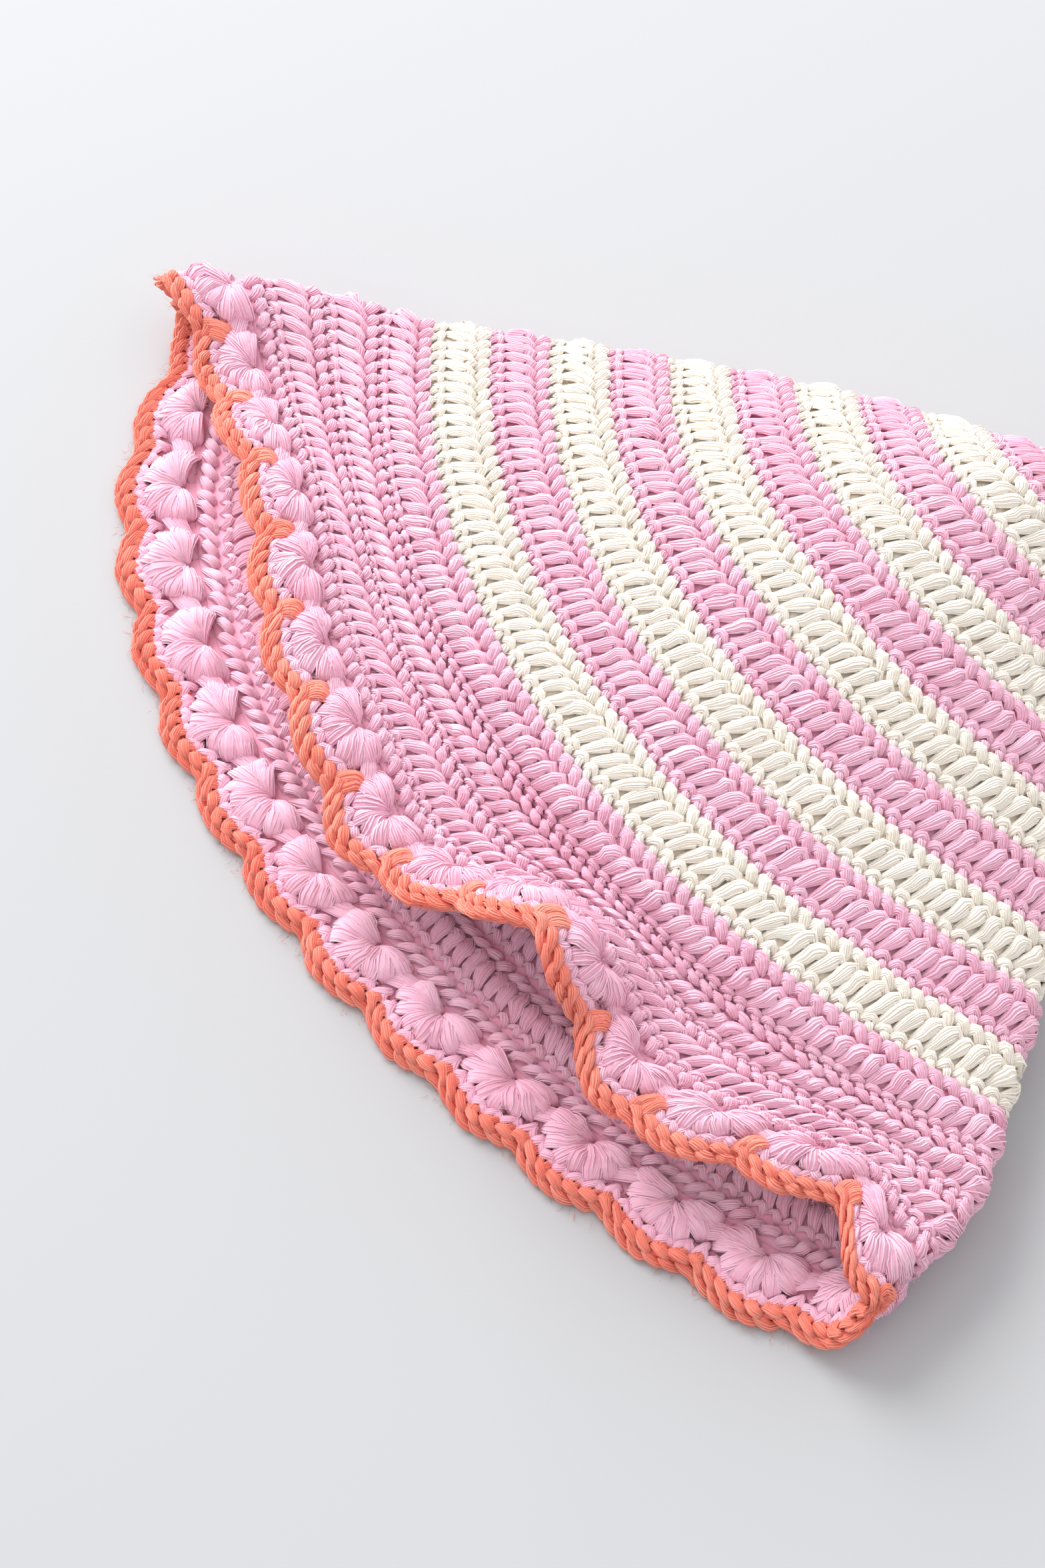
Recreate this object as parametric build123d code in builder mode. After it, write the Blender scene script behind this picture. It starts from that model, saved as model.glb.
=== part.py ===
from build123d import *

import math
import os

import numpy as np

# A crocheted cotton hat with a striped crown and a scalloped brim, lying flattened on its side.
#
# +X runs along the hat from the crown to the head opening, +Y across it and +Z up off the table.
# The origin is on the table under the middle of the hat.
# "depth" is the distance along the fabric from the crown centre, and "turn" is the place round
# the head in radians: 0 is the middle of the upper layer, pi the middle of the lower layer, and
# the two folds are near -pi/2 and +pi/2.
# Each crochet round is one piece: a short round (single crochet) or a tall one (double crochet).

# ---------------------------------------------------------------- driving dimensions, mm

FABRIC = 4.0  # thickness of the worked fabric
START_HOLE = 1.5  # radius of the drawn-up hole at the crown centre
CENTRE = 18.0  # radius of the crown's first piece, worked round that hole
SHORT = 4.2  # depth of a short round
TALL = 10.8  # depth of a tall round
STRIPES = 10  # stripes of one short and one tall round, in turn pink and cream
BRIM_PAIRS = 3  # short and tall rounds of the brim, before its last short round
SHELLS = 15.0  # depth of the round of fans
EDGING = 5.0  # depth of the coral edging
SCALLOPS = 30  # fans round the edge
SCALLOP_DIP = 3.5  # how far the edge steps back between two fans

CONE_GROWTH = 2.72  # added circumference for each mm of depth, once clear of the crown centre
DOME_EXTRA = 128.0  # circumference that the round crown adds to that cone

FOLD_H = 16.0  # height of the two folds
CROWN_H = 43.0  # highest line of the crown
BAND_H = 33.0  # height of the upper layer where the brim starts
VALLEY_H = 19.0  # height of the dip across the upper brim
EDGE_H = 28.0  # height of the upper brim's edge
CROWN_RISE = 19.0  # depth over which the crown rises
NOSE = 50.0  # depth at which the lower layer reaches the table
VALLEY_RUN = 34.0  # depth from the band to the bottom of the dip

SIDE_POWER = 1.7  # roundness of a section towards its folds
ARCH_POWER = 1.4  # roundness of a section towards its top
LEVEL = 0.5  # how soon the lower layer lies level below its folds

BACK_SHIFT = 19.9  # how far the upper brim lies back from the lower one
FORWARD_SHIFT = 6.0  # how far the lower brim is pushed forward
FORWARD_SKEW = 0.83  # share of that push that moves to the far side
SIDE_SHIFT = -12.2  # how far the brim swings to the far side
LOWER_TUCK = 8.1  # how far the middle of the lower edge stays back
RUFFLES = [  # waves of the upper brim: angle, width, height, forward
    (-1.00, 0.20, -19.6, -4.2),
    (-0.65, 0.20, -3.2, -7.3),
    (-0.24, 0.25, 0.0, 6.5),
    (0.08, 0.20, -6.8, 11.3),
    (0.40, 0.12, 19.0, -5.0),
    (0.67, 0.12, 0.2, 10.3),
    (1.04, 0.15, 0.2, -19.8),
]
TUCKS = [  # pulls of the lower brim beside the folds: angle, width, forward
    (-1.85, 0.28, -25.9),
    (1.90, 0.28, 6.0),
]

FLAT_TURN = 2.1  # turn past which the lower layer lies flat
UPPER_POINTS = 65
LOWER_POINTS = 17
POINTS_PER_SCALLOP = 6
BOX_CENTRE_X = -41.03  # place of the box centre, measured from the middle of the upper band
BOX_CENTRE_Y = -12.42

# ---------------------------------------------------------------- lengths that follow

BAND = CENTRE + STRIPES * (SHORT + TALL)
BRIM = BRIM_PAIRS * (SHORT + TALL) + SHORT
EDGE = BAND + BRIM + SHELLS + EDGING
DOME_RUN = DOME_EXTRA / (2 * math.pi - CONE_GROWTH)
TABLE_LEVEL = FABRIC / 2

# ---------------------------------------------------------------- the lying shape


def eased(x):
    """A smooth step from 0 to 1."""
    x = np.clip(x, 0, 1)
    return x * x * (3 - 2 * x)


def circumference(depth):
    return CONE_GROWTH * depth + DOME_EXTRA * (1 - np.exp(-depth / DOME_RUN))


def fan_angle(depth):
    """Half the angle that a layer spans about its own centre, seen from above."""
    cone = CONE_GROWTH / 4
    return cone + (math.pi / 2 - cone) * np.exp(-depth / DOME_RUN)


def top_height(depth):
    rise = FOLD_H + (CROWN_H - FOLD_H) * (1 - np.exp(-depth / CROWN_RISE))
    to_band = (BAND_H - CROWN_H) * eased((depth / BAND - 0.45) / 0.55)
    to_valley = (VALLEY_H - BAND_H) * eased((depth - BAND + 4) / VALLEY_RUN)
    to_edge = (EDGE_H - VALLEY_H) * eased((depth - BAND - VALLEY_RUN) / (EDGE - BAND - VALLEY_RUN))
    return rise + to_band + to_valley + to_edge


def low_height(depth):
    return TABLE_LEVEL + (FOLD_H - TABLE_LEVEL) * np.clip(1 - depth / NOSE, 0, 1) ** 3


def reach(depth, height):
    """Distance along X covered by a layer that follows a height, from the crown centre."""
    steps = np.linspace(0, depth, 400)
    slope = np.gradient(height(steps), steps)
    return np.trapezoid(np.sqrt(np.maximum(1 - slope**2, 0.02)), steps)


BAND_X = reach(BAND, top_height)


def section(depth):
    """Turns and points round the middle of the fabric at one depth."""
    angle = np.linspace(-math.pi, math.pi, 1441)
    cos, sin = np.cos(angle), np.sin(angle)
    upper, lower = np.clip(cos, 0, 1), np.clip(-cos, 0, 1)
    brim = eased((depth - BAND) / (EDGE - BAND))

    arch = FOLD_H + (top_height(depth) - FOLD_H) * upper ** (2 / ARCH_POWER)
    floor = low_height(depth) + (FOLD_H - low_height(depth)) * np.clip(1 - lower / LEVEL, 0, 1) ** 3
    z = np.where(cos >= 0, arch, floor)
    wave_x = 0
    for place, width, height, forward in RUFFLES:
        wave = brim**1.5 * upper * np.exp(-(((angle - place) / width) ** 2))
        z = z + height * wave
        wave_x = wave_x + forward * wave
    for place, width, forward in TUCKS:
        wave_x = wave_x + forward * brim**1.5 * lower**0.5 * np.exp(-(((angle - place) / width) ** 2))

    top_x, low_x = reach(depth, top_height), reach(depth, low_height)
    length = circumference(depth)
    radius = length / (4 * fan_angle(depth))
    across = np.sign(sin) * np.abs(sin) ** (2 / SIDE_POWER)
    push = eased((depth - BAND + 60) / (EDGE - BAND + 60))
    half_width = length / 4
    for _ in range(6):
        swing = across * half_width / radius
        y = radius * np.sin(swing)
        x = (top_x + low_x) / 2 - radius * (1 - np.cos(swing)) + (top_x - low_x) / 2 * cos
        x = x - BACK_SHIFT * upper * brim + wave_x
        x = x + FORWARD_SHIFT * lower**0.7 * (1 - FORWARD_SKEW * np.tanh(y / 90)) * push
        x = x - LOWER_TUCK * lower**2 * push
        points = np.stack([x - BAND_X - BOX_CENTRE_X, y + SIDE_SHIFT * brim - BOX_CENTRE_Y, z], axis=1)
        steps = np.linalg.norm(np.diff(points, axis=0), axis=1)
        half_width = half_width * length / steps.sum()
    turns = np.concatenate([[0], np.cumsum(steps)]) / steps.sum() * 2 * math.pi - math.pi
    return turns, points


def middle(depth, turns):
    """Points on the middle of the fabric at one depth and many turns."""
    turns = (np.asarray(turns) + math.pi) % (2 * math.pi) - math.pi
    known, points = section(depth)
    return np.stack([np.interp(turns, known, points[:, axis]) for axis in range(3)], axis=1)


def face_points(depth, turns, side):
    """Points on the outer (side=1) or inner (side=-1) face of the fabric."""
    along = middle(depth + 0.6, turns) - middle(depth - 0.6, turns)
    round_head = middle(depth, turns + 0.02) - middle(depth, turns - 0.02)
    normal = np.cross(along, round_head)
    normal = normal / np.linalg.norm(normal, axis=1, keepdims=True)
    return middle(depth, turns) + side * FABRIC / 2 * normal


# ---------------------------------------------------------------- edges and solids


def rim(depth, dip=0.0):
    """The four edges of the fabric's cut at one depth, stepped back between the fans by dip."""
    upper_count, lower_count = UPPER_POINTS, LOWER_POINTS
    if dip:
        upper_count = round(SCALLOPS * POINTS_PER_SCALLOP * FLAT_TURN / math.pi) + 1
        lower_count = SCALLOPS * POINTS_PER_SCALLOP + 2 - upper_count
    upper_turns = np.linspace(-FLAT_TURN, FLAT_TURN, upper_count)
    lower_turns = np.linspace(FLAT_TURN, 2 * math.pi - FLAT_TURN, lower_count)
    edges = []
    for turns in (upper_turns, lower_turns):
        back = dip * (1 - np.abs(np.cos(turns * SCALLOPS / 2)))[:, None]
        for side in (1, -1):
            points = face_points(depth, turns, side)
            if dip:
                points = points + back / dip * (face_points(depth - dip, turns, side) - points)
            edges.append(Spline(*[tuple(point) for point in points]))
    return edges


def flat_face(first, last):
    """The plane face between two edges that both lie on one level."""
    return Face(Wire([first, Line(first @ 1, last @ 1), last, Line(last @ 0, first @ 0)]))


def skin(first, last, on_table=False):
    """The face of the fabric between two edges."""
    if on_table:
        return flat_face(first, last)
    return Face.make_surface_from_curves(first, last)


def ring_solid(rims, on_table=False):
    """The closed solid of a piece of fabric that passes through rims, from the crown outwards."""
    faces = []
    for part, flat in ((0, False), (2, on_table)):
        outer, inner = part, part + 1
        for first, last in zip(rims, rims[1:]):
            faces.append(skin(first[outer], last[outer], flat))
            faces.append(skin(first[inner], last[inner], flat))
        for end in (rims[0], rims[-1]):
            faces.append(skin(end[outer], end[inner]))
    return Solid(Shell(faces))


# ---------------------------------------------------------------- the pieces

os.makedirs("parts", exist_ok=True)


def write_piece(name, solid):
    with BuildPart() as piece:
        add(solid)
    piece.part.label = name
    export_step(piece.part, f"parts/{name}.step")


def write_round(name, first, last, depth):
    """One crochet round between two rims; depth is where its first rim lies."""
    write_piece(name, ring_solid([first, last], on_table=depth >= NOSE))


centre_rims = [rim(depth) for depth in np.linspace(START_HOLE, CENTRE, 4)]
write_piece("crown_centre", ring_solid(centre_rims))
depth = CENTRE
previous = centre_rims[-1]

for stripe in range(1, STRIPES + 1):
    for kind, step in (("short", SHORT), ("tall", TALL)):
        following = rim(depth + step)
        write_round(f"crown_{stripe:02d}_{kind}_round", previous, following, depth)
        previous = following
        depth += step

for pair in range(1, BRIM_PAIRS + 2):
    for kind, step in (("short", SHORT), ("tall", TALL)):
        if pair > BRIM_PAIRS and kind == "tall":
            continue
        following = rim(depth + step)
        write_round(f"brim_{pair}_{kind}_round", previous, following, depth)
        previous = following
        depth += step

fan_edge = rim(depth + SHELLS, SCALLOP_DIP)
write_round("fan_round", previous, fan_edge, depth)
write_round("coral_edging", fan_edge, rim(depth + SHELLS + EDGING, SCALLOP_DIP), depth)
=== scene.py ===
import math

import bpy
import numpy as np
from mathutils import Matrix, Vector


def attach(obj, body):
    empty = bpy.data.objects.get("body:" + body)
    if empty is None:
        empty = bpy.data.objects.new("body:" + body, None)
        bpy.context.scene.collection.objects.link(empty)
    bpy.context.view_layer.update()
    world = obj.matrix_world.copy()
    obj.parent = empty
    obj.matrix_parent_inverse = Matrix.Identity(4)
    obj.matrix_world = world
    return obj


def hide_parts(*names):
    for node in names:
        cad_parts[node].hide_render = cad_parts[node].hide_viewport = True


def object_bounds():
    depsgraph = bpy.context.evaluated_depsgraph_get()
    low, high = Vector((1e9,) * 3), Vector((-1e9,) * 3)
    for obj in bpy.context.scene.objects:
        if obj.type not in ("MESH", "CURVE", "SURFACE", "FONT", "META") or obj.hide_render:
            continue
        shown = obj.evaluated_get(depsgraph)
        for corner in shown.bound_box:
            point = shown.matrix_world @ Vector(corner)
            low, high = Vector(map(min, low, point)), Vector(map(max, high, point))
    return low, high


# The looks of a crocheted cotton hat that lies flattened on its side.
#
# Lengths are millimetres until the last step, which writes metres. "depth" is the distance along
# the fabric from the crown centre, "turn" the place round the head (0 is the middle of the upper
# layer, pi the middle of the lower one) and "lift" the height above the middle of the fabric,
# positive outside the hat. Every stitch is made of separate threads.

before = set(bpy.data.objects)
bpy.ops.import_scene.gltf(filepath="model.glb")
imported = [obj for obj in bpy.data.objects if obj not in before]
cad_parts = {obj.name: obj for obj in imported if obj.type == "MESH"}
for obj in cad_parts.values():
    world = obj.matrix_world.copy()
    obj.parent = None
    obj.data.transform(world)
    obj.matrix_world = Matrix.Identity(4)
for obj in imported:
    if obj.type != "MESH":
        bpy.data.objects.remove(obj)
CAD_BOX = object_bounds()

# ---------------------------------------------------------------- driving dimensions, mm

FABRIC = 4.0
START_HOLE = 1.5
CENTRE = 18.0
SHORT = 4.2
TALL = 10.8
STRIPES = 10
BRIM_PAIRS = 3
SHELLS = 15.0
EDGING = 5.0
SCALLOPS = 30
SCALLOP_DIP = 3.5

CONE_GROWTH = 2.72
DOME_EXTRA = 128.0

FOLD_H = 16.0
CROWN_H = 43.0
BAND_H = 33.0
VALLEY_H = 19.0
EDGE_H = 28.0
CROWN_RISE = 19.0
NOSE = 50.0
VALLEY_RUN = 34.0
SIDE_POWER = 1.7
ARCH_POWER = 1.4
LEVEL = 0.5

BACK_SHIFT = 19.9
FORWARD_SHIFT = 6.0
FORWARD_SKEW = 0.83
SIDE_SHIFT = -12.2
LOWER_TUCK = 8.1  # how far the middle of the lower edge stays back
RUFFLES = [  # waves of the upper brim: angle, width, height, forward
    (-1.00, 0.20, -19.6, -4.2),
    (-0.65, 0.20, -3.2, -7.3),
    (-0.24, 0.25, 0.0, 6.5),
    (0.08, 0.20, -6.8, 11.3),
    (0.40, 0.12, 19.0, -5.0),
    (0.67, 0.12, 0.2, 10.3),
    (1.04, 0.15, 0.2, -19.8),
]
TUCKS = [  # pulls of the lower brim beside the folds: angle, width, forward
    (-1.85, 0.28, -25.9),
    (1.90, 0.28, 6.0),
]

CENTRE_RINGS = 4
LEAF_DEPTH = 5.2  # how far one leaf of the inside reaches
STITCH = 4.0  # width of a stitch
THREAD = 0.24  # radius of one thread of the yarn
SIDES = 3  # sides of a thread's cross-section
CORE_SIDES = 8  # sides of the body of a bundle, under its threads
SUNK = 0.02  # how far the threads' centres lie inside a bundle's width
CORE_WIDER = 0.03  # how far the body stands out of a bundle's half width
CORE_HIGHER = 0.04  # and out of its half height
TALL_GROUND = 0.95  # half the thickness of the ground layer under tall stitches
SHORT_GROUND = 0.80
THIN_GROUND = 0.40  # the same under the fans and the crown centre
LAP = 0.4  # how far a ground layer reaches under the next round
FAN_POSTS = 10
FAN_EYE = 3.6  # depth of the point in a fan from which its posts spread
FAN_SPREAD = 2.0  # angle of the outer posts of a fan, radians
LOOPS_PER_FAN = 6

BAND = CENTRE + STRIPES * (SHORT + TALL)
BRIM = BRIM_PAIRS * (SHORT + TALL) + SHORT
EDGE = BAND + BRIM + SHELLS + EDGING
DOME_RUN = DOME_EXTRA / (2 * math.pi - CONE_GROWTH)
TABLE_LEVEL = FABRIC / 2

# ---------------------------------------------------------------- the lying shape


def eased(x):
    """A smooth step from 0 to 1."""
    x = np.clip(x, 0, 1)
    return x * x * (3 - 2 * x)


def circumference(depth):
    return CONE_GROWTH * depth + DOME_EXTRA * (1 - np.exp(-depth / DOME_RUN))


def fan_angle(depth):
    """Half the angle that a layer spans about its own centre, seen from above."""
    cone = CONE_GROWTH / 4
    return cone + (math.pi / 2 - cone) * np.exp(-depth / DOME_RUN)


def top_height(depth):
    rise = FOLD_H + (CROWN_H - FOLD_H) * (1 - np.exp(-depth / CROWN_RISE))
    to_band = (BAND_H - CROWN_H) * eased((depth / BAND - 0.45) / 0.55)
    to_valley = (VALLEY_H - BAND_H) * eased((depth - BAND + 4) / VALLEY_RUN)
    to_edge = (EDGE_H - VALLEY_H) * eased((depth - BAND - VALLEY_RUN) / (EDGE - BAND - VALLEY_RUN))
    return rise + to_band + to_valley + to_edge


def low_height(depth):
    return TABLE_LEVEL + (FOLD_H - TABLE_LEVEL) * np.clip(1 - depth / NOSE, 0, 1) ** 3


def reach(depth, height):
    """Distance along X covered by a layer that follows a height, from the crown centre."""
    steps = np.linspace(0, depth, 400)
    slope = np.gradient(height(steps), steps)
    run = np.sqrt(np.maximum(1 - slope**2, 0.02))
    return float(np.sum((run[1:] + run[:-1]) / 2 * np.diff(steps)))


def section(depth):
    """Turns and points round the middle of the fabric at one depth."""
    angle = np.linspace(-math.pi, math.pi, 1441)
    cos, sin = np.cos(angle), np.sin(angle)
    upper, lower = np.clip(cos, 0, 1), np.clip(-cos, 0, 1)
    brim = eased((depth - BAND) / (EDGE - BAND))

    arch = FOLD_H + (top_height(depth) - FOLD_H) * upper ** (2 / ARCH_POWER)
    floor = low_height(depth) + (FOLD_H - low_height(depth)) * np.clip(1 - lower / LEVEL, 0, 1) ** 3
    z = np.where(cos >= 0, arch, floor)
    wave_x = 0
    for place, width, height, forward in RUFFLES:
        wave = brim**1.5 * upper * np.exp(-(((angle - place) / width) ** 2))
        z = z + height * wave
        wave_x = wave_x + forward * wave
    for place, width, forward in TUCKS:
        wave_x = wave_x + forward * brim**1.5 * lower**0.5 * np.exp(-(((angle - place) / width) ** 2))

    top_x, low_x = reach(depth, top_height), reach(depth, low_height)
    length = circumference(depth)
    radius = length / (4 * fan_angle(depth))
    across = np.sign(sin) * np.abs(sin) ** (2 / SIDE_POWER)
    push = eased((depth - BAND + 60) / (EDGE - BAND + 60))
    half_width = length / 4
    for _ in range(6):
        swing = across * half_width / radius
        y = radius * np.sin(swing)
        x = (top_x + low_x) / 2 - radius * (1 - np.cos(swing)) + (top_x - low_x) / 2 * cos
        x = x - BACK_SHIFT * upper * brim + wave_x
        x = x + FORWARD_SHIFT * lower**0.7 * (1 - FORWARD_SKEW * np.tanh(y / 90)) * push
        x = x - LOWER_TUCK * lower**2 * push
        points = np.stack([x, y + SIDE_SHIFT * brim, z], axis=1)
        steps = np.linalg.norm(np.diff(points, axis=0), axis=1)
        half_width = half_width * length / steps.sum()
    turns = np.concatenate([[0], np.cumsum(steps)]) / steps.sum() * 2 * math.pi - math.pi
    return turns, points


class Fabric:
    """The middle surface of the fabric as a fine grid, with its outward normals."""

    depth_step = 1.5
    turn_count = 1440

    def __init__(self):
        self.depths = np.arange(START_HOLE, EDGE + 6, self.depth_step)
        turns = np.linspace(-math.pi, math.pi, self.turn_count + 1)[:-1]
        rows = []
        for depth in self.depths:
            known, points = section(depth)
            rows.append(np.stack([np.interp(turns, known, points[:, i]) for i in range(3)], axis=1))
        self.points = np.array(rows)
        # the grid's box is laid on the CAD model's box
        outline = self.points[self.depths <= EDGE].reshape(-1, 3)
        middle = (outline.min(0) + outline.max(0)) / 2
        cad_middle = (np.array(CAD_BOX[0]) + np.array(CAD_BOX[1])) / 2 * 1000
        self.points[..., :2] += (cad_middle - middle)[:2]
        along = np.gradient(self.points, axis=0)
        round_head = (np.roll(self.points, -2, axis=1) - np.roll(self.points, 2, axis=1))
        normal = np.cross(along, round_head)
        self.normals = normal / np.linalg.norm(normal, axis=2, keepdims=True)

    def at(self, depth, turn, lift):
        """Points of the hat at depths, turns and lifts, and the fabric's normals there."""
        row = np.clip((depth - self.depths[0]) / self.depth_step, 0, len(self.depths) - 1.001)
        column = ((turn + math.pi) / (2 * math.pi) * self.turn_count) % self.turn_count
        r0, c0 = row.astype(int), column.astype(int)
        r, c = (row - r0)[..., None], (column - c0)[..., None]
        c1 = (c0 + 1) % self.turn_count
        c0 = c0 % self.turn_count

        def mixed(grid):
            near = grid[r0, c0] * (1 - c) + grid[r0, c1] * c
            far = grid[r0 + 1, c0] * (1 - c) + grid[r0 + 1, c1] * c
            return near * (1 - r) + far * r

        normal = mixed(self.normals)
        return mixed(self.points) + lift[..., None] * normal, normal


fabric = Fabric()

# ---------------------------------------------------------------- threads


def curve_weights(controls, samples):
    """Weights of a smooth curve through control points, from its first to its last one."""
    identity = np.eye(controls)
    padded = np.vstack([2 * identity[0] - identity[1], identity, 2 * identity[-1] - identity[-2]])
    place = np.linspace(0, controls - 1, samples)
    start = np.minimum(place.astype(int), controls - 2)
    t = (place - start)[:, None]
    a, b, c, d = (padded[start + i] for i in range(4))
    return 0.5 * (2 * b + (c - a) * t + (2 * a - 5 * b + 4 * c - d) * t**2 + (3 * b - a - 3 * c + d) * t**3)


def bundle(path, width, height, threads, samples, twist=0.0, spread=(0.06, 0.94),
           wobble=0.10, thread=THREAD, jitter=1.0):
    """What one bundle of threads needs: its path in a stitch (stitch widths, mm, mm) and its profile."""
    return dict(path=np.array(path, float), width=np.array(width, float), height=np.array(height, float),
                threads=threads, samples=samples, twist=twist, spread=spread, wobble=wobble,
                thread=thread, jitter=jitter)


def thread_lines(kind, count, stitch_width, rng):
    """Centre lines of all threads of one bundle in count stitches: count x threads x samples x 3."""
    controls, samples, threads = len(kind["path"]), kind["samples"], kind["threads"]
    weights = curve_weights(controls, samples)
    path = kind["path"] * [stitch_width, 1, 1]
    noise = rng.normal(size=(count, controls, 3)) * [0.22, 0.20, 0.14] * kind["jitter"]
    line = np.einsum("sk,nkc->nsc", weights, path[None] + noise)
    heading = np.gradient(line[..., :2], axis=1)
    heading /= np.linalg.norm(heading, axis=2, keepdims=True) + 1e-9
    side = np.stack([-heading[..., 1], heading[..., 0]], axis=2)

    place = np.linspace(0, 1, samples)
    width = np.interp(place, np.linspace(0, 1, len(kind["width"])), kind["width"])
    height = np.interp(place, np.linspace(0, 1, len(kind["height"])), kind["height"])
    low, high = kind["spread"]
    start = np.pi * np.linspace(low, high, threads)
    angle = start[None, :, None] + kind["twist"] * (place - 0.5)[None, None, :]
    angle = angle + rng.normal(size=(count, threads, 1)) * 0.07
    pace = rng.uniform(2, 6, (count, threads, 1))
    sway = np.sin(place[None, None, :] * pace + rng.uniform(0, 6.3, (count, threads, 1)))
    offset = np.cos(angle) * (width / 2 - SUNK) + kind["wobble"] * sway
    raise_by = np.sin(angle) * height / 2 + 0.6 * kind["wobble"] * np.roll(sway, 1, axis=1)
    lines = np.empty((count, threads, samples, 3))
    lines[..., :2] = line[:, None, :, :2] + offset[..., None] * side[:, None]
    lines[..., 2] = line[:, None, :, 2] + raise_by

    ring = np.arange(CORE_SIDES) / CORE_SIDES * 2 * np.pi
    core = np.empty((count, CORE_SIDES, samples, 3))
    body = np.cos(ring)[:, None] * (width / 2 + CORE_WIDER)
    core[..., :2] = line[:, None, :, :2] + body[None, :, :, None] * side[:, None]
    core[..., 2] = line[:, None, :, 2] + (np.sin(ring)[:, None] * (height / 2 + CORE_HIGHER))[None]
    return lines, core


class Yarn:
    """Gathers threads as closed tubes, and turns them into one mesh object."""

    def __init__(self):
        self.vertices, self.faces, self.caps = [], [], []
        self.tones, self.uvs = [], []
        self.total = 0

    def add(self, points, normals, radius, rng, sides=SIDES):
        """Closed tubes along lines (n x samples x 3, mm) with a radius per sample."""
        n, samples = points.shape[:2]
        heading = np.gradient(points, axis=1)
        heading /= np.linalg.norm(heading, axis=2, keepdims=True) + 1e-9
        side = np.cross(heading, normals)
        side /= np.linalg.norm(side, axis=2, keepdims=True) + 1e-9
        up = np.cross(side, heading)
        angle = np.arange(sides) / sides * 2 * np.pi + 0.3
        radius = np.broadcast_to(radius, (n, samples))[..., None, None]
        ring = side[:, :, None] * np.cos(angle)[:, None] + up[:, :, None] * np.sin(angle)[:, None]
        vertices = points[:, :, None] + radius * ring
        first = self.total + np.arange(n)[:, None, None] * samples * sides
        index = first + np.arange(samples)[:, None] * sides + np.arange(sides)
        following = np.roll(index, -1, axis=2)
        quads = np.stack([index[:, :-1], following[:, :-1], following[:, 1:], index[:, 1:]], axis=-1)
        self.faces.append(quads.reshape(-1, 4))
        self.caps.append(np.concatenate([index[:, 0, ::-1], index[:, -1]]).reshape(-1, sides))
        self.vertices.append(vertices.reshape(-1, 3))
        steps = np.linalg.norm(np.diff(points, axis=1), axis=2)
        length = np.concatenate([np.zeros((n, 1)), np.cumsum(steps, axis=1)], axis=1)
        tone = rng.uniform(0, 1, (n, 1, 1)) * np.ones((1, samples, sides))
        self.tones.append(tone.reshape(-1))
        uv = np.empty((n, samples, sides, 2))
        uv[..., 0] = length[:, :, None] + rng.uniform(0, 50, (n, 1, 1))
        uv[..., 1] = np.arange(sides) / sides
        self.uvs.append(uv.reshape(-1, 2))
        self.total += n * samples * sides

    def add_core(self, points, rng):
        """The body of a bundle, from its rings: n x sides x samples x 3, mm."""
        n, sides, samples = points.shape[:3]
        index = self.total + np.arange(n)[:, None, None] * samples * sides
        index = index + np.arange(samples)[:, None] * sides + np.arange(sides)
        following = np.roll(index, -1, axis=2)
        quads = np.stack([index[:, :-1], following[:, :-1], following[:, 1:], index[:, 1:]], axis=-1)
        self.faces.append(quads.reshape(-1, 4)[:, ::-1])
        self.caps.append(np.concatenate([index[:, 0], index[:, -1, ::-1]]).reshape(-1, sides))
        self.vertices.append(points.transpose(0, 2, 1, 3).reshape(-1, 3))
        # the bodies get a lower tone than their threads: painted shade in the gaps between the threads
        self.tones.append((rng.uniform(-0.25, 0.10, (n, 1, 1)) * np.ones((1, samples, sides))).reshape(-1))
        self.uvs.append(rng.uniform(0, 60, (n * samples * sides, 2)))
        self.total += n * samples * sides

    def lay(self, kind, lines, core, to_fabric, rng):
        """Adds a bundle's threads and body, moved from stitch coordinates to the hat by to_fabric."""
        points, normals = to_fabric(lines)
        flat = (-1, points.shape[2], 3)
        radius = thread_radius(points.shape[2], kind["thread"])
        self.add(points.reshape(flat), normals.reshape(flat), radius, rng)
        self.add_core(to_fabric(core)[0], rng)

    def add_sheet(self, depth0, depth1, columns, low, high, edge0=None, edge1=None):
        """A closed ground layer under a round, from one lift to another, so that nothing shows through."""
        turns = np.linspace(-np.pi, np.pi, columns, endpoint=False)
        rows = np.linspace(0, 1, max(2, int((depth1 - depth0) / 2.5) + 1))
        start = depth0 + (0 if edge0 is None else edge0(turns))
        stop = depth1 + (0 if edge1 is None else edge1(turns))
        loop = [(row, high) for row in rows] + [(row, low) for row in rows[::-1]]
        layers = []
        for row, lift in loop:
            depth = start * (1 - row) + stop * row
            layers.append(fabric.at(depth * np.ones(columns), turns, np.full(columns, lift))[0])
        layers = np.array(layers)
        count = len(loop)
        index = self.total + np.arange(count)[:, None] * columns + np.arange(columns)
        below = np.roll(index, -1, axis=0)
        quads = np.stack([index, below, np.roll(below, -1, axis=1), np.roll(index, -1, axis=1)], axis=-1)
        self.faces.append(quads.reshape(-1, 4)[:, ::-1])
        self.vertices.append(layers.reshape(-1, 3))
        # the ground layers get a low tone: painted shade where they show between the stitches
        self.tones.append(np.full(count * columns, -0.25))
        self.uvs.append(np.zeros((count * columns, 2)))
        self.total += count * columns

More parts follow.
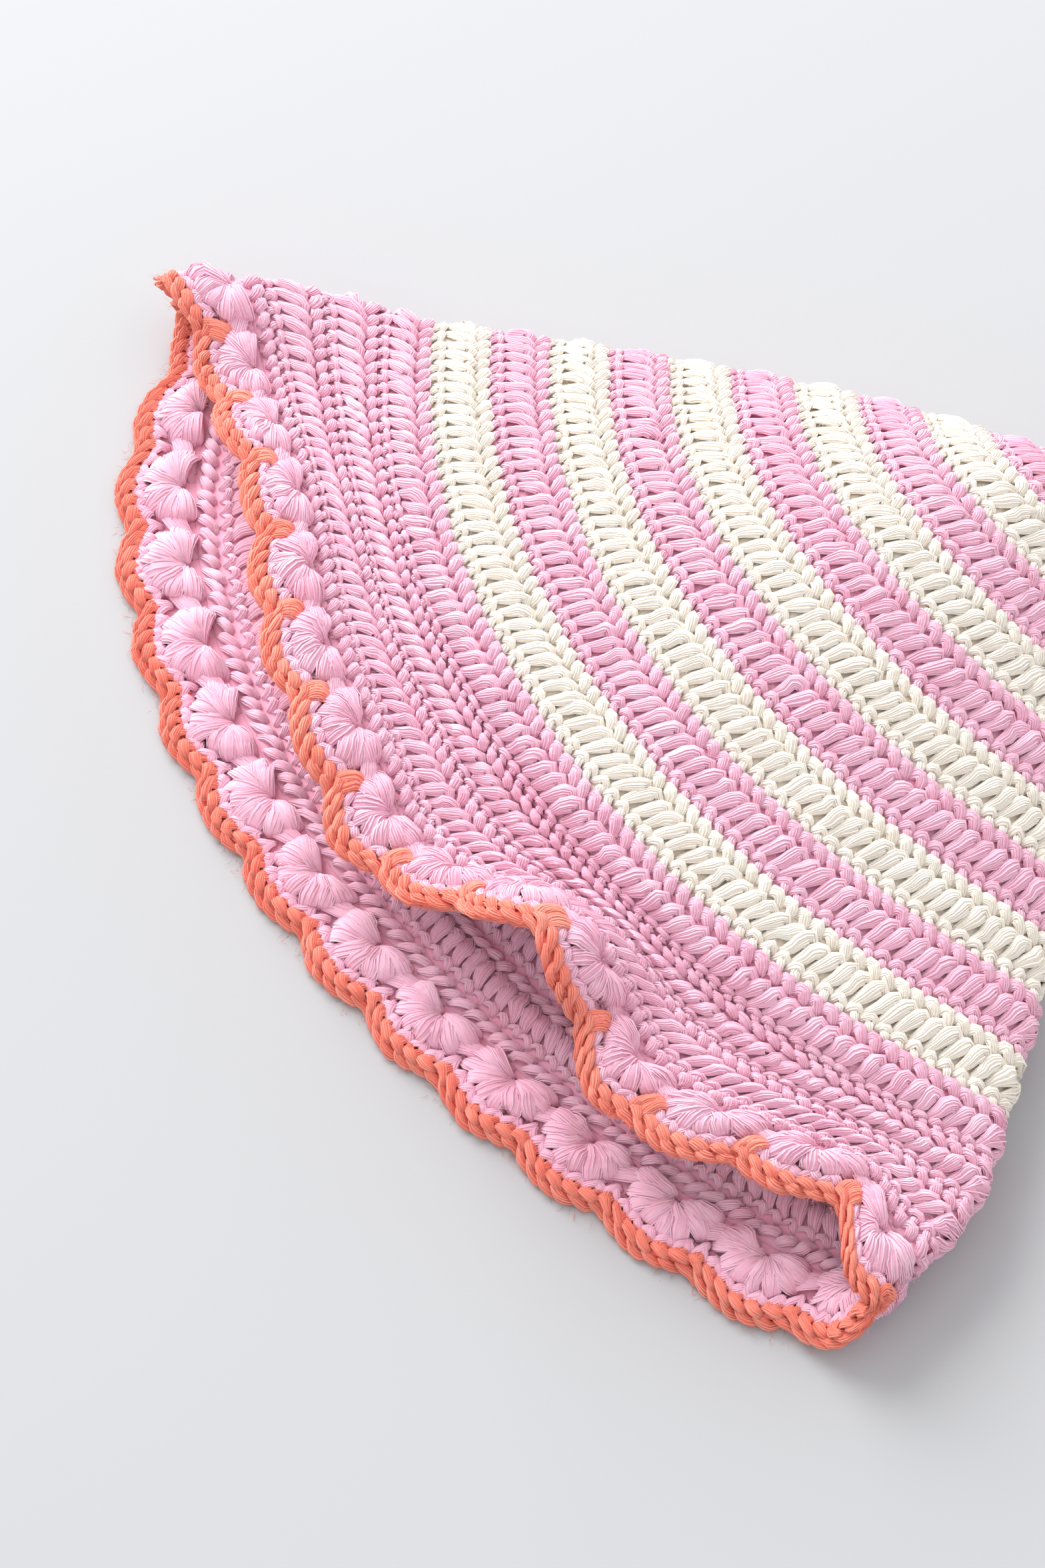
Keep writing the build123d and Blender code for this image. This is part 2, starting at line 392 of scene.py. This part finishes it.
    def finish(self, name, material, slot):
        vertices = np.concatenate(self.vertices) / 1000
        quads = np.concatenate(self.faces)
        mesh = bpy.data.meshes.new(name)
        mesh.vertices.add(len(vertices))
        mesh.vertices.foreach_set("co", vertices.ravel())
        corners = np.concatenate([quads.ravel()] + [cap.ravel() for cap in self.caps])
        cap_sizes = [np.full(len(cap), cap.shape[1]) for cap in self.caps]
        sizes = np.concatenate([np.full(len(quads), 4)] + cap_sizes)
        mesh.loops.add(len(corners))
        mesh.loops.foreach_set("vertex_index", corners)
        mesh.polygons.add(len(sizes))
        mesh.polygons.foreach_set("loop_start", np.concatenate([[0], np.cumsum(sizes)[:-1]]))
        mesh.polygons.foreach_set("loop_total", sizes)
        mesh.polygons.foreach_set("use_smooth", np.ones(len(sizes), bool))
        tone = mesh.attributes.new("tone", "FLOAT", "POINT")
        tone.data.foreach_set("value", np.concatenate(self.tones))
        layer = mesh.uv_layers.new(name="thread")
        layer.data.foreach_set("uv", np.concatenate(self.uvs)[corners].ravel())
        mesh.update(calc_edges=True)
        mesh.materials.append(material)
        piece = bpy.data.objects.new(name, mesh)
        bpy.context.scene.collection.objects.link(piece)
        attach(piece, "root")
        return piece


# ---------------------------------------------------------------- stitches

# A tall stitch: one full post that leans back against the turn, and the two loops at its foot.
POST = bundle([(0.98, 2.8, 0.0), (0.98, 1.4, 1.1), (0.70, 0.5, 2.2), (0.30, 2.5, 2.6), (-0.10, 5.6, 2.0),
               (-0.66, 8.4, 0.3)],
              [1.8, 2.9, 3.8, 3.8, 2.7, 1.0], [1.2, 1.9, 2.3, 2.2, 1.6, 0.9], 10, 9, twist=0.9, jitter=1.4)
FOOT_LOOP = bundle([(-0.52, 9.9, 0.5), (-0.22, 8.1, 1.7), (0.16, 7.4, 2.0), (0.54, 8.7, 0.9)],
                   [1.1, 1.9, 1.8, 1.0], [0.8, 1.3, 1.3, 0.8], 6, 6, twist=0.5)
FOOT_LEG = bundle([(0.06, 8.0, 1.0), (0.18, 9.4, 1.9), (0.46, 10.9, 1.0)],
                  [1.3, 1.8, 1.2], [1.0, 1.3, 0.8], 5, 5, twist=0.3)
# A short stitch: nested arcs that wrap over like one turn of a cord.
WRAP = bundle([(-0.58, 3.0, 0.0), (-0.32, 1.0, 1.5), (0.08, 0.7, 2.2), (0.40, 2.3, 1.7), (0.54, 4.3, 0.2)],
              [1.6, 2.7, 3.0, 2.5, 1.2], [1.0, 1.7, 2.0, 1.7, 0.9], 8, 7, twist=0.6)
# The inside of the crown shows chunky slanted leaves, and the inside of the brim shows posts.
INNER_LEAF = bundle([(-0.64, 0.2, -0.1), (-0.24, 0.9, 1.7), (0.28, 3.3, 1.8), (0.64, 5.2, 0.1)],
                    [1.5, 3.1, 2.9, 1.4], [0.9, 1.6, 1.6, 0.9], 7, 7, twist=0.6, jitter=1.8)
HIDDEN_LEAF = bundle([(-0.45, 0.4, -0.2), (-0.15, 1.0, 1.6), (0.25, 3.2, 1.7), (0.50, 4.8, 0.2)],
                     [1.4, 2.9, 2.7, 1.3], [0.9, 1.6, 1.6, 0.9], 3, 5, twist=0.4, thread=0.36)


def thread_radius(samples, full=THREAD):
    """Threads thin out a little where they dive into the fabric."""
    place = np.linspace(0, 1, samples)
    return full * (0.72 + 0.28 * np.sin(np.pi * place) ** 0.5)


def lay_stitches(yarn, kinds, depth, height_scale, count, rng, inside=False, shift=0.0, gauge=None):
    """Works a round of count stitches that starts at a depth, outside or inside the hat.

    gauge is the depth at which a stitch has its full width, if that isn't where the round starts.
    """
    width = circumference(depth if gauge is None else gauge) / count
    stitch = np.arange(count)[:, None, None]

    def to_fabric(place):
        turn = (stitch + place[..., 0] / width + shift) / count * 2 * np.pi
        return fabric.at(depth + place[..., 1] * height_scale, turn, place[..., 2] * (-1 if inside else 1))

    for kind in kinds:
        lines, core = thread_lines(kind, count, width, rng)
        yarn.lay(kind, lines, core if not inside else core[:, ::-1], to_fabric, rng)


# ---------------------------------------------------------------- materials


def cotton(name, dark_tone_and_painted_shade, main, light):
    """Loosely plied cotton: colour varies from thread to thread, with fine twist lines and fuzz sheen. The
    dark end of the colours is also painted shade, on the bundles' bodies and the ground layers that show in
    the gaps.
    """
    material = bpy.data.materials.new(name)
    material.use_nodes = True
    tree = material.node_tree
    tree.nodes.clear()
    output = tree.nodes.new("ShaderNodeOutputMaterial")
    shader = tree.nodes.new("ShaderNodeBsdfPrincipled")
    shader.inputs["Roughness"].default_value = 0.92
    shader.inputs["Specular IOR Level"].default_value = 0.05
    shader.inputs["Sheen Weight"].default_value = 0.1
    shader.inputs["Sheen Roughness"].default_value = 0.5
    tree.links.new(shader.outputs["BSDF"], output.inputs["Surface"])

    # the attribute is a random tone per thread, and is low on bundle bodies and ground layers as painted
    # shade
    tone = tree.nodes.new("ShaderNodeAttribute")
    tone.attribute_name = "tone"
    ramp = tree.nodes.new("ShaderNodeValToRGB")
    ramp.color_ramp.elements[0].color = (*dark_tone_and_painted_shade, 1)
    ramp.color_ramp.elements[1].color = (*light, 1)
    middle = ramp.color_ramp.elements.new(0.5)
    middle.color = (*main, 1)
    soft = tree.nodes.new("ShaderNodeMapRange")
    soft.inputs["From Min"].default_value = -1.0
    soft.inputs["To Min"].default_value = -0.35
    tree.links.new(tone.outputs["Fac"], soft.inputs["Value"])

    coordinates = tree.nodes.new("ShaderNodeTexCoord")
    blotch = tree.nodes.new("ShaderNodeTexNoise")
    blotch.inputs["Scale"].default_value = 90
    blotch.inputs["Detail"].default_value = 3
    tree.links.new(coordinates.outputs["Object"], blotch.inputs["Vector"])
    blend = tree.nodes.new("ShaderNodeMath")
    blend.operation = "MULTIPLY_ADD"
    blend.inputs[1].default_value = 0.5
    tree.links.new(blotch.outputs["Fac"], blend.inputs[0])
    lower = tree.nodes.new("ShaderNodeMath")
    lower.operation = "MULTIPLY_ADD"
    lower.inputs[1].default_value = 0.55
    lower.inputs[2].default_value = 0.0
    tree.links.new(soft.outputs["Result"], lower.inputs[0])
    tree.links.new(lower.outputs["Value"], blend.inputs[2])
    tree.links.new(blend.outputs["Value"], ramp.inputs["Fac"])
    tree.links.new(ramp.outputs["Color"], shader.inputs["Base Color"])

    uv = tree.nodes.new("ShaderNodeUVMap")
    uv.uv_map = "thread"
    mapping = tree.nodes.new("ShaderNodeMapping")
    mapping.inputs["Scale"].default_value = (1.6, 4.0, 1.0)
    tree.links.new(uv.outputs["UV"], mapping.inputs["Vector"])
    twist = tree.nodes.new("ShaderNodeTexNoise")
    twist.inputs["Scale"].default_value = 1.6
    twist.inputs["Detail"].default_value = 4
    tree.links.new(mapping.outputs["Vector"], twist.inputs["Vector"])
    bump = tree.nodes.new("ShaderNodeBump")
    bump.inputs["Strength"].default_value = 0.5
    bump.inputs["Distance"].default_value = 0.0002
    tree.links.new(twist.outputs["Fac"], bump.inputs["Height"])
    tree.links.new(bump.outputs["Normal"], shader.inputs["Normal"])
    return material


COTTONS = {
    "pink_cotton": cotton("pink yarn", (0.88, 0.33, 0.46), (0.97, 0.555, 0.70), (0.99, 0.685, 0.80)),
    "cream_cotton": cotton("cream yarn", (0.98, 0.83, 0.68), (1.0, 0.93, 0.83), (1.0, 0.95, 0.88)),
    # a lighter copy of the pink yarn for the inside pieces: painted bounce light inside the folded hat
    "pink_inside_painted_light": cotton("pink yarn inside with painted bounce light", (0.94, 0.36, 0.50), (1.0, 0.61, 0.75), (1.0, 0.73, 0.84)),
    "coral_cotton": cotton("coral yarn", (0.86, 0.13, 0.09), (0.97, 0.27, 0.20), (0.99, 0.44, 0.34)),
}

# ---------------------------------------------------------------- the rounds


def work_round(name, kind, slot, depth, step, leaf=INNER_LEAF):
    """One crochet round: its outside stitches, ground layer and inside stitches."""
    rng = np.random.default_rng(int(depth * 10))
    count = max(8, round(circumference(depth + step / 2) / STITCH))
    shift = rng.uniform(0, 1)
    outside = Yarn()
    ground = TALL_GROUND if kind == "tall" else SHORT_GROUND
    outside.add_sheet(depth - LAP, depth + step + LAP, count * 3, -ground, ground)
    if kind == "tall":
        lay_stitches(outside, [POST], depth, step / TALL, count, rng, shift=shift)
        feet = Yarn()
        lay_stitches(feet, [FOOT_LOOP, FOOT_LEG], depth, step / TALL, count, rng, shift=shift)
        feet.finish(name + "_feet", COTTONS[slot], slot)
    else:
        lay_stitches(outside, [WRAP], depth, step / SHORT, count, rng, shift=shift)
    piece = outside.finish(name, COTTONS[slot], slot)
    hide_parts(name)

    if leaf is None:
        return
    inside = Yarn()
    rows = 2 if kind == "tall" and leaf is not POST else 1
    for row in range(rows):
        scale = step / rows / (TALL if leaf is POST else LEAF_DEPTH)
        kinds = [POST, FOOT_LOOP] if leaf is POST else [leaf]
        start = depth + row * step / rows
        lay_stitches(inside, kinds, start, scale, count, rng, inside=True, shift=row * 0.5)
    inside.finish(name + "_inside", COTTONS["pink_inside_painted_light" if slot == "pink_cotton" else slot], slot)


def work_centre():
    """The start of the hat: a ring of six short stitches and three wider rings round it."""
    rng = np.random.default_rng(15)
    centre = Yarn()
    centre.add_sheet(START_HOLE, CENTRE + LAP, 60, -THIN_GROUND, THIN_GROUND)
    step = (CENTRE - START_HOLE) / CENTRE_RINGS
    for ring in range(CENTRE_RINGS):
        depth = START_HOLE + ring * step
        gauge = depth + step / 2
        count = max(6, round(circumference(gauge) / STITCH))
        shift = rng.uniform(0, 1)
        lay_stitches(centre, [WRAP], depth, step / SHORT, count, rng, shift=shift, gauge=gauge)
    piece = centre.finish("crown_centre", COTTONS["cream_cotton"], "cream_cotton")
    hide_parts("crown_centre")


def crown():
    work_centre()
    depth = CENTRE
    for stripe in range(1, STRIPES + 1):
        slot = "pink_cotton" if stripe % 2 else "cream_cotton"
        for kind, step in (("short", SHORT), ("tall", TALL)):
            leaf = None if stripe < 7 else HIDDEN_LEAF if stripe < 9 else INNER_LEAF
            work_round(f"crown_{stripe:02d}_{kind}_round", kind, slot, depth, step, leaf)
            depth += step


def brim():
    depth = BAND
    for pair in range(1, BRIM_PAIRS + 2):
        work_round(f"brim_{pair}_short_round", "short", "pink_cotton", depth, SHORT)
        depth += SHORT
        if pair <= BRIM_PAIRS:
            work_round(f"brim_{pair}_tall_round", "tall", "pink_cotton", depth, TALL, POST)
            depth += TALL


def scallop(turn):
    """How far the edge steps back between two fans."""
    return -SCALLOP_DIP * (1 - np.abs(np.cos(turn * SCALLOPS / 2)))


def lay_on_edge(yarn, kind, count, depth, width, rng, sign, shift=0.0, follow=True):
    """Lays a bundle count times along the edge, outside (sign=1) or inside the hat."""
    stitch = np.arange(count)[:, None, None]

    def to_fabric(place):
        turn = (stitch + shift + place[..., 0] / width) / count * 2 * np.pi
        along = depth + place[..., 1] + (scallop(turn) if follow else 0)
        return fabric.at(along, turn, sign * place[..., 2])

    lines, core = thread_lines(kind, count, width, rng)
    yarn.lay(kind, lines, core[:, ::sign], to_fabric, rng)


def fans():
    """Thirty fans of ten posts that spread from one point, with the loops that close their outer ends."""
    rng = np.random.default_rng(31)
    depth = BAND + BRIM
    outside, inside = Yarn(), Yarn()
    outside.add_sheet(
        depth - LAP, depth + SHELLS + 0.2, SCALLOPS * 12, -THIN_GROUND, THIN_GROUND, edge1=scallop
    )
    pitch = 2 * math.pi / SCALLOPS
    fan = np.arange(SCALLOPS)
    half = 0.5 * circumference(depth + SHELLS) / SCALLOPS
    for yarn, sign in ((outside, 1), (inside, -1)):
        for post in range(FAN_POSTS):
            lean = (post - (FAN_POSTS - 1) / 2) / ((FAN_POSTS - 1) / 2)
            angle = lean * FAN_SPREAD
            forward = math.cos(angle)
            end_x = math.sin(angle) * (half - 0.4)
            end_t = forward * 10.4 if forward > 0 else forward * 4.0
            path = [
                (0.03 * end_x, FAN_EYE, 0.0),
                (0.18 * end_x, FAN_EYE + 0.16 * end_t, 2.6),
                (0.50 * end_x, FAN_EYE + 0.50 * end_t, 3.7),
                (0.84 * end_x, FAN_EYE + 0.84 * end_t, 2.9),
                (end_x, FAN_EYE + end_t, 0.5),
            ]
            widths, heights = [0.8, 2.1, 3.9, 4.8, 3.0], [0.9, 1.6, 2.2, 2.1, 1.1]
            kind = bundle(path, widths, heights, 9, 7, twist=0.9, wobble=0.30, jitter=2.0)
            lines, core = thread_lines(kind, SCALLOPS, 1.0, rng)

            def to_fabric(place, sign=sign):
                turn = fan[:, None, None] * pitch + place[..., 0] / circumference(depth + SHELLS) * 2 * np.pi
                return fabric.at(depth + place[..., 1], turn, sign * place[..., 2])

            yarn.lay(kind, lines, core[:, ::sign], to_fabric, rng)
    piece = outside.finish("fan_round", COTTONS["pink_cotton"], "pink_cotton")
    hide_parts("fan_round")
    inside.finish("fan_round_inside", COTTONS["pink_inside_painted_light"], "pink_cotton")

    count = SCALLOPS * LOOPS_PER_FAN
    width = circumference(depth + SHELLS) / count
    head_a = bundle([(-0.1, -3.4, 0.6), (0.0, -1.9, 1.9), (0.30, -0.4, 1.9), (0.62, 0.4, 0.9)],
                    [1.3, 1.9, 2.1, 1.4], [0.9, 1.3, 1.3, 0.9], 6, 7, twist=0.4)
    head_b = bundle([(0.1, -3.4, 0.6), (0.0, -1.9, 1.7), (-0.30, -0.4, 1.7), (-0.62, 0.4, 0.9)],
                    [1.3, 1.9, 2.1, 1.4], [0.9, 1.3, 1.3, 0.9], 6, 7, twist=0.4)
    for sign, name in ((1, "fan_round_loops"), (-1, "fan_round_inside_loops")):
        heads = Yarn()
        for kind in (head_a, head_b):
            lay_on_edge(heads, kind, count, depth + SHELLS, width, rng, sign)
        heads.finish(name, COTTONS["pink_cotton"], "pink_cotton")

    between = Yarn()
    gusset = bundle([(-0.30, 1.2, 0.4), (-0.08, 3.6, 1.9), (0.10, 6.0, 1.9), (0.30, 9.0, 0.6)],
                    [1.4, 2.8, 3.0, 1.8], [0.9, 1.6, 1.6, 0.9], 9, 7, twist=0.4)
    for sign in (1, -1):
        for place in (-2.4, 0.0, 2.4):
            shift = 0.5 + place / (2 * half)
            lay_on_edge(between, gusset, SCALLOPS, depth, 2 * half, rng, sign, shift=shift, follow=False)
    between.finish("fan_round_gussets", COTTONS["pink_cotton"], "pink_cotton")


def edging():
    """The coral round: a cord along the scalloped edge, a hook between two fans, and legs on the inside."""
    rng = np.random.default_rng(53)
    depth = BAND + BRIM + SHELLS
    count = SCALLOPS * LOOPS_PER_FAN
    width = circumference(depth) / count
    yarn = Yarn()
    yarn.add_sheet(depth - 0.2, depth + EDGING - 1.6, SCALLOPS * 12, -0.9, 0.9, edge0=scallop, edge1=scallop)
    over = bundle([(-0.75, 1.0, -0.1), (-0.35, 0.9, 1.5), (0.20, 2.2, 2.1), (0.75, 3.9, 0.8)],
                  [1.3, 2.4, 2.5, 1.4], [0.9, 1.4, 1.5, 0.9], 7, 7, twist=0.6)
    rim = bundle([(-0.75, 3.2, 1.4), (-0.30, 4.3, 1.1), (0.25, 4.4, -0.3), (0.75, 3.3, -1.3)],
                 [1.3, 2.4, 2.4, 1.3], [0.9, 1.4, 1.4, 0.9], 9, 7, twist=0.5, spread=(-0.75, 0.75))
    under = bundle([(-0.75, 3.6, -0.9), (-0.25, 2.8, -2.0), (0.30, 1.5, -1.8), (0.75, 0.9, -0.2)],
                   [1.3, 2.4, 2.4, 1.3], [0.9, 1.4, 1.4, 0.9], 7, 7, twist=0.5, spread=(1.06, 1.94))
    for kind in (over, rim):
        lay_on_edge(yarn, kind, count, depth, width, rng, 1)
    piece = yarn.finish("coral_edging", COTTONS["coral_cotton"], "coral_cotton")
    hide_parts("coral_edging")

    below = Yarn()
    lay_on_edge(below, under, count, depth, width, rng, 1)
    below.finish("coral_edging_inside", COTTONS["coral_cotton"], "coral_cotton")
    legs = Yarn()
    leg_widths, leg_heights = [1.5, 1.7, 0.8], [1.0, 1.2, 0.8]
    leg_a = bundle([(0.0, 2.6, 1.3), (-0.16, 0.8, 1.8), (-0.34, -1.8, 0.5)], leg_widths, leg_heights, 6, 6)
    leg_b = bundle([(0.1, 2.6, 1.3), (0.22, 0.8, 1.8), (0.36, -1.8, 0.5)], leg_widths, leg_heights, 6, 6)
    for kind in (leg_a, leg_b):
        lay_on_edge(legs, kind, count, depth, width, rng, -1)
    hook = bundle([(-0.02, 2.4, 0.8), (0.00, 0.0, 2.2), (0.05, -2.8, 2.6), (0.12, -5.2, 1.2),
                   (0.15, -6.4, -0.2)],
                  [2.6, 3.2, 2.8, 2.0, 0.9], [1.2, 1.9, 1.9, 1.4, 0.8], 12, 10, twist=0.7)
    for place, scale in ((-0.03, 1.0), (0.05, 0.8)):
        fan_width = LOOPS_PER_FAN * width * scale
        lay_on_edge(legs, hook, SCALLOPS, depth, fan_width, rng, 1, shift=0.5 + place)
    legs.finish("coral_edging_hooks", COTTONS["coral_cotton"], "coral_cotton")


def fuzz(name, slot, first, last, count, seed, lifts=(1.6, 2.9)):
    """Loose fibre ends that stand off the yarn."""
    rng = np.random.default_rng(seed)
    depth = np.sqrt(rng.uniform(first**2, last**2, count))
    if slot == "stripes":
        phase = (depth - CENTRE) % (2 * (SHORT + TALL))
        wanted = phase > SHORT + TALL if name.startswith("cream") else phase <= SHORT + TALL
        depth = depth[wanted]
        slot = "cream_cotton" if name.startswith("cream") else "pink_cotton"
    count = len(depth)
    turn = rng.uniform(-np.pi, np.pi, count)
    length = rng.uniform(1.2, 4.2, count)
    way = rng.uniform(0, 2 * np.pi, count)
    bend = rng.uniform(-1.6, 1.6, count)
    place = np.linspace(0, 1, 3)
    heading = way[:, None] + bend[:, None] * place
    around = circumference(depth)[:, None]
    across = np.cumsum(np.cos(heading), axis=1) * length[:, None] / 3
    along = np.cumsum(np.sin(heading), axis=1) * length[:, None] / 3
    start = rng.uniform(*lifts, count)[:, None]
    rise = rng.uniform(-0.2, 1.1, count)[:, None]
    lift = start + rise * np.sin(place * np.pi * 0.7) - 0.3 * place
    places = np.clip(depth[:, None] + along, START_HOLE, EDGE + 2)
    points, normals = fabric.at(places, turn[:, None] + across / around * 2 * np.pi, lift)
    yarn = Yarn()
    yarn.add(points, normals, np.linspace(0.042, 0.022, 3), rng, sides=3)
    yarn.finish(name, COTTONS[slot], slot)


crown()
brim()
fans()
edging()
fuzz("pink_fuzz_1", "stripes", CENTRE, BAND, 11000, 71)
fuzz("cream_fuzz_1", "stripes", CENTRE, BAND, 11000, 72)
fuzz("pink_fuzz_2", "pink_cotton", BAND, BAND + BRIM, 9500, 73)
fuzz("pink_fuzz_3", "pink_cotton", BAND + BRIM, BAND + BRIM + SHELLS - 2, 8000, 74, (2.2, 3.6))
fuzz("coral_fuzz_1", "coral_cotton", EDGE - EDGING, EDGE - 0.5, 3500, 75, (0.4, 2.6))

# ---------------------------------------------------------------- floor, light and camera

AIM = (0.04379, 0.00440, 0.002)  # the point of the table at the middle of the picture
BEARING = math.radians(-149.4)
ELEVATION = math.radians(60)
DISTANCE = 0.9045
LENS = 84.2


def studio():
    bpy.ops.mesh.primitive_plane_add(size=40, location=(0, 0, 0))
    floor = bpy.context.object
    floor.name = "floor"
    material = bpy.data.materials.new("pale floor")
    material.use_nodes = True
    shader = material.node_tree.nodes["Principled BSDF"]
    shader.inputs["Base Color"].default_value = (0.505, 0.510, 0.522, 1)
    shader.inputs["Roughness"].default_value = 0.7
    shader.inputs["Specular IOR Level"].default_value = 0.1
    floor.data.materials.append(material)

    world = bpy.data.worlds.new("studio")
    world.use_nodes = True
    world.node_tree.nodes["Background"].inputs["Color"].default_value = (0.98, 0.985, 1.0, 1)
    world.node_tree.nodes["Background"].inputs["Strength"].default_value = 0.92
    bpy.context.scene.world = world


def area_light(name, place, target, size, power):
    light = bpy.data.lights.new(name, "AREA")
    light.size = size
    light.energy = power
    lamp = bpy.data.objects.new(name, light)
    lamp.location = place
    direction = np.array(target) - np.array(place)
    lamp.rotation_mode = "QUATERNION"
    lamp.rotation_quaternion = Vector(direction).to_track_quat("-Z", "Y")
    bpy.context.scene.collection.objects.link(lamp)


def ground(right, away):
    """A direction on the table from the camera's right and away directions."""
    cos, sin = math.cos(-BEARING), math.sin(-BEARING)
    return (cos * right - sin * away, sin * right + cos * away)


def camera():
    data = bpy.data.cameras.new("camera")
    data.lens = LENS
    data.sensor_width = 36
    made = bpy.data.objects.new("camera", data)
    x, y = ground(0, -DISTANCE * math.cos(ELEVATION))
    made.location = (AIM[0] + x, AIM[1] + y, DISTANCE * math.sin(ELEVATION))
    made.rotation_mode = "QUATERNION"
    made.rotation_quaternion = (Vector(AIM) - made.location).to_track_quat("-Z", "Y")
    bpy.context.scene.collection.objects.link(made)
    bpy.context.scene.camera = made


studio()
back_left = ground(-0.95, 1.75)
area_light("key", (back_left[0], back_left[1], 1.25), (0, 0, 0), 1.9, 84)
camera()
bpy.context.scene.view_settings.view_transform = "Standard"
